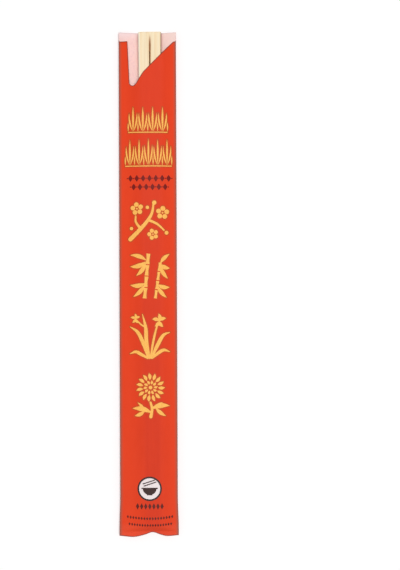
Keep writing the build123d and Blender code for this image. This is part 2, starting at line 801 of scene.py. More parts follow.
class Mesher:
    """Gathers points and faces, with a material for each face, into one mesh object."""

    def __init__(self) -> None:
        """Starts with nothing."""
        self.points: list[Place] = []
        self.faces: list[tuple[int, ...]] = []
        self.slots: list[int] = []

    def grid(self, rows: Sequence[Sequence[Place]], slot: int, flip: bool) -> list[list[int]]:
        """Adds a sheet of four-sided faces.

        Args:
            rows: Its points, row by row.
            slot: The faces' material.
            flip: Whether the faces look the other way.

        Returns:
            The numbers of its points.
        """
        numbers = []
        for row in rows:
            numbers.append(list(range(len(self.points), len(self.points) + len(row))))
            self.points.extend(row)
        for low, high in zip(numbers, numbers[1:]):
            for at in range(len(low) - 1):
                corners = (low[at], low[at + 1], high[at + 1], high[at])
                self.faces.append(corners[::-1] if flip else corners)
                self.slots.append(slot)
        return numbers

    def strip(self, first: Sequence[int], second: Sequence[int], slot: int) -> None:
        """Joins two lines of points with faces, as along a cut edge.

        Args:
            first: The numbers of one line's points.
            second: The numbers of the other's.
            slot: The faces' material.
        """
        for at in range(len(first) - 1):
            self.faces.append((first[at], first[at + 1], second[at + 1], second[at]))
            self.slots.append(slot)

    def made(
        self, name: str, materials: Sequence[bpy.types.Material], weld: float = 0.0
    ) -> bpy.types.Object:
        """Makes the mesh, smooth.

        Args:
            name: The piece's name.
            materials: Its materials, in the order of the faces' numbers.
            weld: How near points are merged.

        Returns:
            The object.
        """
        mesh = bpy.data.meshes.new(name)
        mesh.from_pydata([tuple(part * MM for part in point) for point in self.points], [], self.faces)
        for material in materials:
            mesh.materials.append(material)
        for polygon, slot in zip(mesh.polygons, self.slots):
            polygon.material_index = slot
            polygon.use_smooth = True
        if weld:
            tidy = bmesh.new()
            tidy.from_mesh(mesh)
            bmesh.ops.remove_doubles(tidy, verts=tidy.verts, dist=weld * MM)
            tidy.to_mesh(mesh)
            tidy.free()
        return into_scene(name, mesh)


@dataclass(frozen=True)
class PrintedPaper:
    """Thin uncoated paper flooded with red ink, with what lies behind it showing through, and painted
    shade on its slopes and folds.
    """

    side: Side
    sleeve: Sleeve
    margin: Colour = srgb(232, 66, 28)
    # Darker where the sticks show through, and painted shade on the slopes beside them
    over_sticks_and_slope_shade: Colour = srgb(213, 54, 23)
    single: Colour = srgb(255, 94, 58)
    # Painted shade along the side folds
    fold_shade: Colour = srgb(156, 90, 74)
    # Paler and greyer towards the hem
    paler_near_hem: Colour = srgb(228, 96, 70)
    cloud: Grain = Grain(0.16, 2.0)
    streak: Grain = Grain(0.8)
    streak_along: float = 0.06
    wave: Grain = Grain(0.22, 2.0, 0.4)
    wave_along: float = 0.45
    wave_height: float = 0.22
    fibre_height: float = 0.018
    # Lighter towards the mouth and darker towards the hem
    lighter_towards_mouth: Span = (-110.0, 100.0)
    paler_near_hem_span: Span = (-110.5, -113.0)
    paler_near_hem_share: float = 0.2
    fold_shade_width: Span = (1.8, 0.0)
    pressed: Span = (90.0, -50.0)
    # Painted shade on the slopes beside the pair
    beside_pair: Span = (7.5, 0.5)
    beside_share: float = 0.4
    over_pair: Span = (1.2, -1.6)
    notch_blur: Span = (-0.35, 0.35)
    notch_room: float = 30.0
    light: Sway = Sway(0.925, 0.04)
    cloud_light: float = 0.06
    fleck_light: float = 0.05
    fold_shade_share: Sway = Sway(0.45, 0.8)
    press: Sway = Sway(0.1, 0.27)
    streaks: Sway = Sway(0.7, 0.6)
    roughness: Sway = Sway(0.52, 0.2)
    gloss: float = 0.15

    def material(self) -> bpy.types.Material:
        """Makes the material.

        Returns:
            The material.
        """
        bench = Bench(f"printed_paper_{self.side.name.lower()}")
        x, y, z = bench.place()
        at = bench.vector(x, y, z)
        colour = self._show_through(bench, x, y, z)
        cloud = bench.mottle(at, self.cloud)
        fleck = bench.mottle(at, FLECK)
        light = self.light.of(y.rise(*self.lighter_towards_mouth))
        colour = bench.shade(colour, light + self.cloud_light * cloud + self.fleck_light * fleck)
        colour = bench.blend(y.rise(*self.paler_near_hem_span) * self.paler_near_hem_share, colour, self.paler_near_hem)
        sleeve = self.sleeve
        lowering = y.rise(sleeve.flare_start, sleeve.closing_end)
        reach = sleeve.tips_reach + (sleeve.half_width - sleeve.tips_reach) * lowering
        # Painted shade along the side folds, a little uneven
        edge = (reach - x.size()).rise(*self.fold_shade_width)
        colour = bench.blend(edge * self.fold_shade_share.of(fleck), colour, self.fold_shade)
        waves = bench.mottle(bench.vector(x, y * self.wave_along, z), self.wave)
        relief = bench.emboss(waves, self.wave_height)
        relief = bench.emboss(bench.fibres(x, y, z), self.fibre_height, relief)
        bench.finish(Specular_IOR_Level=self.gloss)
        return bench.finish(Base_Color=colour, Roughness=self.roughness.of(fleck), Normal=relief)

    def _show_through(self, bench: Bench, x: Wire, y: Wire, z: Wire) -> Wire:
        """The red, darker where the sticks lie behind, with painted shade on the slopes beside them, and
        lighter where the paper is single.

        Args:
            bench: The material being made.
            x: The place across.
            y: The place along.
            z: The height.

        Returns:
            The colour.
        """
        middle, half = self.sleeve.pair.wired(y)
        off = (x - middle).size() - half
        streak = bench.mottle(bench.vector(x, y * self.streak_along, z), self.streak)
        pressed = self.press.of(y.rise(*self.pressed))
        # Painted shade on the slopes between the pair and the side folds
        sloped = self.beside_share * off.rise(*self.beside_pair)
        behind = (sloped + pressed * off.rise(*self.over_pair)) * self.streaks.of(streak)
        colour = bench.blend(behind, self.margin, self.over_sticks_and_slope_shade)
        if self.side is Side.BACK:
            cover = self._cover(bench, x, y)
            colour = bench.blend(1 - cover, colour, self.single)
        return colour

    def _cover(self, bench: Bench, x: Wire, y: Wire) -> Wire:
        """Where the front panel lies behind the back one: 1 there, and 0 in the notch.

        Args:
            bench: The material being made.
            x: The place across.
            y: The place along.

        Returns:
            The mask.
        """
        sleeve = self.sleeve
        span = 2 * sleeve.half_width
        room = self.notch_room
        outline = [(px / span + 0.5, depth / room) for px, depth in sleeve.notch.outline(3)]
        points = [(0.0, 0.0), *outline, (1.0, 0.0)]
        across = x / span + 0.5
        edge = bench.node("ShaderNodeFloatCurve", {"points": points}, {"Value": across})
        below = sleeve.front_edge - y - edge * room
        return below.rise(*self.notch_blur)


@dataclass(frozen=True)
class BarePaper:
    """The unprinted inside of the sheet, pink with the red behind it."""

    sleeve: Sleeve
    tint: Colour = srgb(245, 211, 206)
    pale: Colour = srgb(247, 218, 217)
    deep: Colour = srgb(246, 196, 187)
    shaded: Colour = srgb(222, 184, 174)
    speck: Colour = srgb(232, 190, 198)
    # Painted shade on the paper seen through the slit between the sticks
    slit_shade: Colour = srgb(206, 158, 104)
    lit: Colour = srgb(255, 224, 216)
    cloud: Grain = Grain(0.35)
    fleck: Grain = Grain(2.6, 4.0, 0.6)
    specks: Grain = Grain(1.5, 2.0, 0.7)
    crinkle: Grain = Grain(0.9)
    crinkle_height: float = 0.15
    fibre_height: float = 0.02
    mouth_fade: float = 4.0
    cloud_edge: Span = (0.35, 0.8)
    cloud_share: float = 0.35
    speck_edge: Span = (0.5, 0.72)
    speck_share: float = 0.55
    speck_along: float = 0.5
    crinkle_across: float = 0.5
    lit_side: Span = (6.4, 7.6)
    left_side: Span = (1.0, -1.0)
    beside_pair: float = 1.3
    further_left: float = 1.5
    under_pair: float = -0.2
    beside_share: float = 0.8
    less_left: float = 0.4
    under_slit: Span = (0.9, 0.4)
    light: Sway = Sway(0.95, 0.08)
    roughness: Sway = Sway(0.75, 0.15)

    def material(self) -> bpy.types.Material:
        """Makes the material.

        Returns:
            The material.
        """
        bench = Bench("bare_paper")
        x, y, z = bench.place()
        at = bench.vector(x, y, z)
        cloud = bench.mottle(at, self.cloud)
        fleck = bench.mottle(at, self.fleck)
        colour = bench.blend(cloud.rise(*self.cloud_edge) * self.cloud_share, self.tint, self.deep)
        specks = bench.mottle(bench.vector(x, y * self.speck_along, z), self.specks)
        colour = bench.blend(specks.rise(*self.speck_edge) * self.speck_share, colour, self.speck)
        near_mouth = y.rise(self.sleeve.mouth - self.mouth_fade, self.sleeve.mouth)
        colour = bench.blend(near_mouth, colour, self.pale)
        colour = bench.blend(x.rise(*self.lit_side), colour, self.lit)
        middle, half = self.sleeve.pair.wired(y)
        off = (x - middle).size()
        left = (x - middle).rise(*self.left_side)
        beside = (off - half).rise(self.beside_pair + self.further_left * left, self.under_pair)
        shade = self.beside_share - self.less_left * left
        colour = bench.blend(beside * shade, colour, self.shaded)
        # Painted shade under the slit
        colour = bench.blend(off.rise(*self.under_slit), colour, self.slit_shade)
        colour = bench.shade(colour, self.light.of(fleck))
        crinkle = bench.mottle(bench.vector(x * self.crinkle_across, y, z), self.crinkle)
        relief = bench.emboss(crinkle, self.crinkle_height)
        relief = bench.emboss(bench.fibres(x, y, z), self.fibre_height, relief)
        return bench.finish(Base_Color=colour, Roughness=self.roughness.of(fleck), Normal=relief)


@dataclass(frozen=True)
class CutPaper:
    """The sheet's cut edges, where the ink stops and the pale core shows."""

    ink: Colour = srgb(196, 84, 66)
    core: Colour = srgb(226, 150, 138)
    fray: Grain = Grain(1.6)
    fray_up: float = 4.0
    fray_edge: Span = (0.4, 0.75)
    fray_height: float = 0.05
    roughness: Sway = Sway(0.8, 0.1)

    def material(self) -> bpy.types.Material:
        """Makes the material.

        Returns:
            The material.
        """
        bench = Bench("cut_paper")
        x, y, z = bench.place()
        frayed = bench.mottle(bench.vector(x, y, z * self.fray_up), self.fray)
        colour = bench.blend(frayed.rise(*self.fray_edge), self.ink, self.core)
        relief = bench.emboss(frayed, self.fray_height)
        return bench.finish(Base_Color=colour, Roughness=self.roughness.of(frayed), Normal=relief)


@dataclass(frozen=True)
class Bamboo:
    """Planed bamboo: straight pale fibres with darker strands, painted shade along the right edge and
    painted light along the left one.
    """

    pair: Pair
    body: Colour = srgb(246, 228, 192)
    warm: Colour = srgb(243, 215, 170)
    # Painted shade in the groove, lighter where the pair is sawn through
    cut: Colour = srgb(166, 108, 58)
    sawn: Colour = srgb(214, 166, 112)
    # Painted shade along the pair's right edge
    skin: Colour = srgb(140, 84, 58)
    # Painted light on the pair's rounded left edge
    corner: Colour = srgb(255, 246, 222)
    broad: Grain = Grain(0.7, 3.0, 0.55)
    fine: Grain = Grain(4.5, 4.0, 0.65)
    fine_height: float = 0.05
    grain_along: float = 0.012
    warm_edge: Span = (0.35, 0.75)
    strands_per_mm: float = 2.6
    strand_height: float = 0.03
    strand: Colour = srgb(222, 178, 124)
    strand_edge: Span = (0.42, 0.12)
    # Painted shade, warmer and darker further into the sleeve
    in_sleeve: Span = (114.0, 90.0)
    in_sleeve_share: float = 0.6
    right_edge_shade_width: Span = (-0.4, -0.08)
    left_edge_light_width: Span = (0.9, 0.35)
    groove_middle: float = 0.1
    groove_side: Span = (0.66, 0.26)
    groove_run: Span = (0.4, -5.2)
    groove_share: float = 0.9
    cut_blend: float = 1.0
    strand_share: Sway = Sway(0.12, 0.3)
    right_edge_shade_share: Sway = Sway(0.7, 0.3)
    light: Sway = Sway(0.93, 0.12)
    roughness: Sway = Sway(0.42, 0.25)
    refraction: float = 1.5

    def material(self) -> bpy.types.Material:
        """Makes the material.

        Returns:
            The material.
        """
        bench = Bench("planed_bamboo")
        x, y, z = bench.place()
        middle, half = self.pair.wired(y)
        across = x - middle
        grain_at = bench.vector(across, y * self.grain_along, z)
        broad = bench.mottle(grain_at, self.broad)
        fine = bench.mottle(grain_at, self.fine)
        cells = {"Vector": grain_at, "Scale": self.strands_per_mm, "Randomness": 1.0}
        strands = bench.node("ShaderNodeTexVoronoi", {"feature": "F1"}, cells)
        dark = strands.rise(*self.strand_edge)
        # Painted shade from the sleeve's edge
        shaded = y.rise(*self.in_sleeve) * self.in_sleeve_share
        colour = bench.blend(broad.rise(*self.warm_edge).most(shaded), self.body, self.warm)
        colour = bench.blend(dark * self.strand_share.of(fine), colour, self.strand)
        colour = bench.shade(colour, self.light.of(fine))
        # Painted shade along the groove and the saw cut
        sawn_from = self.pair.head - self.pair.cut_start
        below = y.rise(sawn_from + self.cut_blend, sawn_from - self.cut_blend)
        colour = bench.blend(self._groove_shade(across, y), colour, bench.blend(below, self.cut, self.sawn))
        # Painted shade along the right edge
        outside = (across - half).rise(*self.right_edge_shade_width)
        colour = bench.blend(outside * self.right_edge_shade_share.of(fine), colour, self.skin)
        # Painted light on the rounded left edge
        colour = bench.blend((across + half).rise(*self.left_edge_light_width), colour, self.corner)
        relief = bench.emboss(fine, self.fine_height)
        relief = bench.emboss(dark, self.strand_height, relief)
        bench.finish(IOR=self.refraction)
        return bench.finish(Base_Color=colour, Roughness=self.roughness.of(fine), Normal=relief)

    def _groove_shade(self, across: Wire, y: Wire) -> Wire:
        """How deep in the groove and saw cut a point is, for the painted shade along them.

        Args:
            across: The place across from the pair's middle.
            y: The place along.

        Returns:
            The mask.
        """
        start = self.pair.head - self.pair.groove_start
        started = y.rise(*(start + run for run in self.groove_run))
        inside = (across - self.groove_middle).size().rise(*self.groove_side)
        return inside * started * self.groove_share


@dataclass(frozen=True)
class StudioFloor:
    """A white table that keeps the packet's shadow."""

    white: Colour = (0.82, 0.82, 0.82)
    lift: Colour = (0.19, 0.19, 0.19)
    black: Colour = (0.0, 0.0, 0.0)
    roughness: float = 0.9

    def material(self) -> bpy.types.Material:
        """Makes the material.

        Returns:
            The material.
        """
        bench = Bench("white_table")
        seen, glossy, through = [
            bench.node("ShaderNodeLightPath", output=name)
            for name in ("Is Camera Ray", "Is Glossy Ray", "Is Transmission Ray")
        ]
        glow = bench.blend(seen.most(glossy).most(through), self.black, self.lift)
        bench.finish(Base_Color=self.white, Roughness=self.roughness)
        return bench.finish(Emission_Color=glow, Emission_Strength=1.0)


class Surface(IntEnum):
    """The surfaces of the sleeve, in the order of its materials."""

    FRONT = 0
    BACK = 1
    INSIDE = 2
    CUT = 3


@dataclass(frozen=True)
class SleeveBuilder:
    """Builds and dresses the paper sleeve."""

    sleeve: Sleeve
    back_margin: Colour = srgb(245, 65, 33)
    back_over_sticks_and_slope_shade: Colour = srgb(240, 61, 26)
    fold_steps: tuple[float, ...] = (0.0, 0.22, 0.6)
    even_from: float = 1.2
    column_step: float = 0.62
    tab_step: float = 0.9
    mouth_step: float = 0.7
    notch_margin: float = 0.2
    seam_steps: int = 6
    upper_steps: int = 20
    weld: float = 0.002

    def build(self) -> bpy.types.Object:
        """Makes the folded sheet: the front panel, the back panel and the strip with the glue tab.

        Returns:
            The piece.
        """
        sleeve = self.sleeve
        mesher = Mesher()
        front, back, strip = self._front(), self._back(), self._strip()
        ends = {"top": 0, "bottom": 0}
        self._panel(mesher, front, Surface.FRONT, ends)
        self._panel(mesher, back, Surface.BACK, {**ends, "right": 0, "left": back.folded})
        self._panel(mesher, strip, Surface.BACK, {**ends, "left": 0, "right": strip.folded})
        finishes = {
            Surface.FRONT: PrintedPaper(Side.FRONT, sleeve),
            Surface.BACK: PrintedPaper(Side.BACK, sleeve, self.back_margin, self.back_over_sticks_and_slope_shade),
            Surface.INSIDE: BarePaper(sleeve),
            Surface.CUT: CutPaper(),
        }
        materials = [finishes[surface].material() for surface in Surface]
        return mesher.made("printed_sleeve", materials, self.weld)

    def _panel(
        self, mesher: Mesher, sheet: Sheet, printed: Surface, cut: dict[str, int]
    ) -> None:
        """Adds a panel's two faces and its cut edges.

        Args:
            mesher: What gathers the mesh.
            sheet: The panel's points.
            printed: What its printed face is. The back's looks down.
            cut: Which of its sides are cut, and from which row up.
        """
        flip = printed is Surface.BACK
        outer = mesher.grid(sheet.outer, printed, flip)
        inner = mesher.grid(sheet.inner, Surface.INSIDE, not flip)
        sides = {
            "bottom": (outer[0], inner[0], not flip),
            "top": (outer[-1], inner[-1], flip),
            "left": ([row[0] for row in outer], [row[0] for row in inner], flip),
            "right": ([row[-1] for row in outer], [row[-1] for row in inner], not flip),
        }
        for name, start in cut.items():
            first, second, swap = sides[name]
            if swap:
                first, second = second, first
            mesher.strip(first[start:], second[start:], Surface.CUT)

    def _levels(self, x: float, top: float) -> list[float]:
        """The places along of one column's points, from the hem to the panel's top edge.

        Args:
            x: The column's place across.
            top: Where the panel's top edge is.

        Returns:
            The places, from low to high.
        """
        sleeve = self.sleeve
        low, last = sleeve.hem(x), self.upper_steps
        seam = [low + (sleeve.closing_end - low) * n / self.seam_steps for n in range(self.seam_steps)]
        upper = [sleeve.shoulder + (top - sleeve.shoulder) * n / last for n in range(1, last + 1)]
        return seam + sleeve.rows() + upper

    def _grid(
        self,
        places: Iterable[float],
        top: Callable[[float], float],
        height: Callable[[float, float], float],
        side: Side,
        extra: Sequence[float] = (),
        kept: float = 0.0,
    ) -> Sheet:
        """Lays a panel out as rows and columns.

        Args:
            places: The columns' places across at the mouth, in any order.
            top: Where the panel's top edge is, at a place across.
            height: The height of its printed face.
            side: Which way the printed face looks.
            extra: Places along above the top of the usual rows.
            kept: The place across that stays where it is all the way along.

        Returns:
            The panel.
        """
        sleeve = self.sleeve
        columns = sorted({round(place, 6) for place in places})
        levels = [[*self._levels(column, top(column)), *extra] for column in columns]
        sheet = Sheet(folded=len(levels[0]) - len(extra) - 1)
        for row in zip(*levels):
            outer, inner = [], []
            for column, y in zip(columns, row):
                x = sleeve.across(column, y, kept)
                within = sleeve.tuck(x, y)
                at_fold = abs(column) == sleeve.mouth_reach
                under = sleeve.inner_height(within, y, height(within, y), side, at_fold)
                outer.append((x, y, height(x, y)))
                inner.append((within, y, under))
            sheet.outer.append(outer)
            sheet.inner.append(inner)
        return sheet

    def _spread(self, start: float, end: float, step: float) -> list[float]:
        """Places from start to end, about a step apart."""
        count = max(1, round(abs(end - start) / step))
        return [start + (end - start) * number / count for number in range(count + 1)]

    def _by_fold(self, fold: int) -> list[float]:
        """The close columns beside a side fold: -1 for the left one and 1 for the right one."""
        return [fold * (self.sleeve.mouth_reach - step) for step in self.fold_steps]

    def _front(self) -> Sheet:
        """The front panel, with the notch cut in its top edge.

        Returns:
            The panel.
        """
        sleeve = self.sleeve
        even = sleeve.mouth_reach - self.even_from
        places = self._by_fold(-1) + self._by_fold(1) + self._spread(-even, even, self.column_step)
        left, right = sleeve.notch.steep_side()
        margin = self.notch_margin
        places = [x for x in places if not left - margin < x < right + margin]
        places += [x for x, _ in sleeve.notch.outline()]
        return self._grid(places, sleeve.top_edge, sleeve.front_height, Side.FRONT)

    def _back(self) -> Sheet:
        """The back panel, from the left fold to its free edge.

        Returns:
            The panel.
        """
        sleeve = self.sleeve
        first = -sleeve.mouth_reach + self.even_from
        places = self._by_fold(-1) + self._spread(first, sleeve.free_edge, self.column_step)
        return self._mouth_grid(places, sleeve.back_height)

    def _strip(self) -> Sheet:
        """The strip between the right fold and the free edge, with the glue tab beyond it.

        Returns:
            The panel.
        """
        sleeve = self.sleeve
        edge, last = sleeve.free_edge, sleeve.mouth_reach - self.even_from
        places = self._by_fold(1) + self._spread(edge - sleeve.lap, edge, self.tab_step)
        places += self._spread(edge, last, self.column_step)
        return self._mouth_grid(places, sleeve.tab_height)

    def _mouth_grid(self, places: Iterable[float], height: Callable[[float, float], float]) -> Sheet:
        """A panel behind, which goes up to the mouth and shares the front panel's rows below.

        Args:
            places: The columns' places across at the mouth.
            height: The height of its printed face.

        Returns:
            The panel.
        """
        sleeve = self.sleeve
        rest = self._spread(sleeve.front_edge, sleeve.mouth, self.mouth_step)[1:]
        return self._grid(places, self._level_top, height, Side.BACK, rest, kept=sleeve.free_edge)

    def _level_top(self, x: float) -> float:
        """Where the shared rows end on a panel without the notch, at any place across."""
        return self.sleeve.front_edge


def on_circle(centre: Point, radius: float, angle: float) -> Point:
    """The point of a circle at this angle."""
    return centre[0] + radius * math.cos(angle), centre[1] + radius * math.sin(angle)


class Pen:
    """Draws flat brush shapes as small patches, in millimetres from a centre."""

    THINNEST = 0.03  # half of the least width
    # A leaf's widths, as (share of its length, share of its greatest width)
    LEAF = ((0.0, 0.12), (0.3, 0.85), (0.55, 1.0), (0.8, 0.6), (1.0, 0.05))

    def __init__(self, centre: Point = (0.0, 0.0), swell: float = 0.0, scale: float = 1.0) -> None:
        """Starts a drawing.

        Args:
            centre: Where the drawing's own middle lies on the packet.
            swell: How much wider than drawn every stroke becomes, as for an outline round it.
            scale: The drawing's size.
        """
        self.centre = centre
        self.swell = swell
        self.scale = scale
        self.patches: Patches = []

    def patch(self, points: Iterable[Point]) -> None:
        """Keeps one filled patch with no dents in its outline, in its place on the packet."""
        x0, y0 = self.centre
        self.patches.append([(x0 + x * self.scale, y0 + y * self.scale) for x, y in points])

    def stroke(self, *track: Place, steps: int = 5, blunt: bool = False) -> None:
        """A brush stroke along a smooth line.

        Args:
            *track: The line's points, each with the stroke's width there.
            steps: How many patches there are from one point to the next.
            blunt: Whether its ends are cut straight and not round.
        """
        knots = [Vector(point) for point in track]
        knots = [2 * knots[0] - knots[1], *knots, 2 * knots[-1] - knots[-2]]
        line = []
        for p0, p1, p2, p3 in zip(knots, knots[1:], knots[2:], knots[3:]):
            for step in range(steps):
                t = step / steps
                bend = (p2 - p0) * t + (2 * p0 - 5 * p1 + 4 * p2 - p3) * t * t
                line.append(p1 + (bend + (3 * p1 - p0 - 3 * p2 + p3) * t**3) / 2)
        line.append(knots[-2])
        sides = []
        for at, point in enumerate(line):
            before, after = line[max(0, at - 1)], line[min(len(line) - 1, at + 1)]
            run = (after - before).to_2d().normalized()
            half = max(self.THINNEST, point.z / 2) + self.swell / 2
            across = Vector((-run.y, run.x)) * half
            sides.append((point.to_2d() + across, point.to_2d() - across, half))
        for (a, b, _), (c, d, _) in zip(sides, sides[1:]):
            self.patch([tuple(a), tuple(b), tuple(d), tuple(c)])
        for a, b, half in (sides[0], sides[-1]):
            if not blunt:
                self._round(((a.x + b.x) / 2, (a.y + b.y) / 2), half)

    def _round(self, centre: Point, radius: float, corners: int = 10) -> None:
        """A small filled disc."""
        turns = [2 * math.pi * corner / corners for corner in range(corners)]
        self.patch([on_circle(centre, radius, turn) for turn in turns])

    def dot(self, centre: Point, radius: float) -> None:
        """A filled disc."""
        self._round(centre, radius + self.swell / 2, corners=18)

    def leaf(self, start: Point, end: Point, width: float, bow: float = 0.0) -> None:
        """A stroke that is pointed at both ends, bowed to the left of its way by this much.

        Args:
            start: Its foot.
            end: Its tip.
            width: Its greatest width.
            bow: How far it is bowed.
        """
        run = Vector(end) - Vector(start)
        side = Vector((-run.y, run.x)).normalized() * bow
        points = []
        for along, share in self.LEAF:
            place = Vector(start) + run * along + side * (4 * along * (1 - along))
            points.append((place.x, place.y, width * share))
        self.stroke(*points, steps=3)

    def ring(self, centre: Point, radius: float, width: float, sides: int = 40) -> None:
        """A round line.

        Args:
            centre: Its middle.
            radius: Its radius.
            width: The line's width.
            sides: How many straight runs it has.
        """
        points = []
        for turn in range(sides + 1):
            angle = 2 * math.pi * turn / sides
            points.append((*on_circle(centre, radius, angle), width))
        self.stroke(*points, steps=1)

    def box(self, left: float, low: float, right: float, high: float) -> None:
        """A straight-sided patch.

        Args:
            left: Its left side.
            low: Its lower side.
            right: Its right side.
            high: Its upper side.
        """
        grow = self.swell / 2
        left, low, right, high = left - grow, low - grow, right + grow, high + grow
        self.patch([(left, low), (right, low), (right, high), (left, high)])


Drawing = Callable[[Pen], None]


def patches_of(draw: Drawing, centre: Point, swell: float = 0.0, scale: float = 1.0) -> Patches:
    """Makes a drawing in its place on the packet.

    Args:
        draw: What draws it round its own middle.
        centre: Where its middle lies on the packet.
        swell: How much wider than drawn every stroke becomes.
        scale: Its size.

    Returns:
        Its patches.
    """
    pen = Pen(centre, swell, scale)
    draw(pen)
    return pen.patches


def plum_branch(pen: Pen) -> None:
    """A branch of plum blossom.

    Args:
        pen: What draws it.
    """
    pen.stroke((-8.9, -8.6, 2.0), (-4.8, -4.5, 1.8), (-1.2, -0.4, 1.5), (1.2, 3.6, 1.2), (2.0, 8.8, 0.7))
    pen.stroke((-4.0, -3.8, 1.3), (-6.3, -0.6, 1.0), (-6.4, 2.2, 0.7))
    pen.stroke((-0.6, 0.4, 1.2), (3.4, -1.4, 1.0), (6.8, -4.4, 0.7))
    for x, y, size in ((-5.8, 5.6, 3.1), (6.1, 3.7, 3.2), (1.6, -6.3, 2.7)):
        for petal in range(5):
            angle = math.radians(90 + 72 * petal + 11 * x)
            pen.dot(on_circle((x, y), 0.62 * size, angle), 0.35 * size)
        pen.dot((x, y), 0.14 * size)
    for x, y, size in ((7.9, -5.6, 0.9), (2.3, 8.4, 1.0), (-0.9, 6.2, 0.8), (-8.4, -3.6, 0.8)):
        pen.dot((x, y), size)


def bamboo_stems(pen: Pen) -> None:
    """Two stems of bamboo in leaf.

    Args:
        pen: What draws it.
    """
    for x0, lean, low, high, width, joints in (
        (-2.4, 0.09, -10.6, 10.6, 1.8, 4),
        (2.6, 0.14, -10.6, 6.4, 1.4, 4),
    ):
        length = (high - low) / joints
        for joint in range(joints):
            start, end = low + joint * length + 0.22, low + (joint + 1) * length - 0.22
            xs = [x0 + lean * (y - low) for y in (start, (start + end) / 2, end)]
            middle = (xs[1], (start + end) / 2, width * 0.74)
            pen.stroke((xs[0], start, width), middle, (xs[2], end, width), steps=4, blunt=True)
    leaves = (
        ((-1.6, 7.4), (-8.9, 9.7), 1.9, -0.7),
        ((-1.7, 6.6), (-9.0, 4.4), 2.1, 0.8),
        ((-1.8, 6.0), (-6.2, 0.2), 1.9, 0.6),
        ((5.0, 6.0), (9.2, 10.2), 1.7, 0.4),
        ((5.0, 5.4), (9.3, 3.6), 1.9, -0.5),
        ((4.9, 4.8), (8.4, -1.2), 1.8, -0.5),
        ((3.8, -4.0), (9.2, -5.2), 1.9, -0.6),
        ((3.7, -4.6), (7.8, -10.0), 1.8, -0.5),
        ((-2.2, -3.4), (-9.0, -4.2), 2.0, 0.7),
        ((-2.3, -4.0), (-7.6, -9.6), 1.9, 0.6),
    )
    for start, end, width, bow in leaves:
        pen.leaf(start, end, width, bow)


def orchid_clump(pen: Pen) -> None:
    """An orchid: arching blades and two flowers.

    Args:
        pen: What draws it.
    """
    blades = (
        ((-0.8, -10.2, 0.9), (-3.0, -3.6, 1.7), (-5.6, 1.6, 1.5), (-9.1, 4.2, 0.3)),
        ((-0.2, -10.3, 0.9), (-1.6, -2.6, 1.7), (-1.9, 3.6, 1.5), (-3.4, 10.0, 0.3)),
        ((0.7, -10.2, 0.9), (3.6, -4.2, 1.7), (6.2, 0.2, 1.4), (9.2, 1.6, 0.3)),
        ((1.0, -10.3, 0.9), (4.4, -7.6, 1.5), (6.6, -6.6, 1.3), (9.2, -7.4, 0.3)),
        ((-1.0, -10.3, 0.9), (-4.4, -8.4, 1.5), (-6.6, -7.4, 1.3), (-9.2, -8.3, 0.3)),
        ((0.3, -10.2, 0.8), (1.5, -3.0, 1.0), (2.9, 3.0, 0.8), (3.6, 5.0, 0.6)),
    )
    for blade in blades:
        pen.stroke(*blade)
    for x, y, size in ((4.4, 7.0, 3.3), (-6.7, 8.0, 2.3)):
        for petal, turn in enumerate((95, 20, 168, 232, 302)):
            angle = math.radians(turn)
            bow = 0.12 * size if petal % 2 else -0.12 * size
            pen.leaf((x, y), on_circle((x, y), size, angle), 0.5 * size, bow)
    pen.stroke((-2.1, 4.0, 0.6), (-4.2, 5.4, 0.7), (-6.4, 7.6, 0.6))


def chrysanthemum(pen: Pen) -> None:
    """A chrysanthemum: a many-petalled flower on its stem, with leaves.

    Args:
        pen: What draws it.
    """
    x, y = 0.2, 3.6
    for count, inside, outside, width, turn in ((15, 3.5, 6.6, 1.45, 0), (10, 1.5, 3.3, 1.15, 9)):
        for petal in range(count):
            angle = math.radians(turn + 360 * petal / count)
            ray = Vector((math.cos(angle), math.sin(angle)))
            start, end = Vector((x, y)) + ray * inside, Vector((x, y)) + ray * outside
            pen.leaf(tuple(end), tuple(start), width, 0.25)
    pen.dot((x, y), 0.85)
    pen.stroke((0.2, -3.4, 1.0), (0.9, -6.4, 1.2), (0.3, -10.0, 1.5))
    for side in (-1, 1):
        root = (0.6, -7.2 + 0.9 * side)
        pen.leaf(root, (side * 8.6 + 0.4, -5.6 + 0.6 * side), 2.3, side * 0.8)
        pen.leaf((side * 2.6, -6.6 + 0.8 * side), (side * 7.2, -9.6), 1.7, -side * 0.4)
        pen.leaf((side * 2.4, -6.6 + 0.8 * side), (side * 5.8, -3.4), 1.2, side * 0.3)


class Mark(Enum):
    """The small flat ornaments that are repeated in rows."""

    SPRIG = "sprig of three leaves between buds"
    BEAD = "lozenge and dot"
    LOZENGE = "lozenge"
    WAVE = "wave scale"


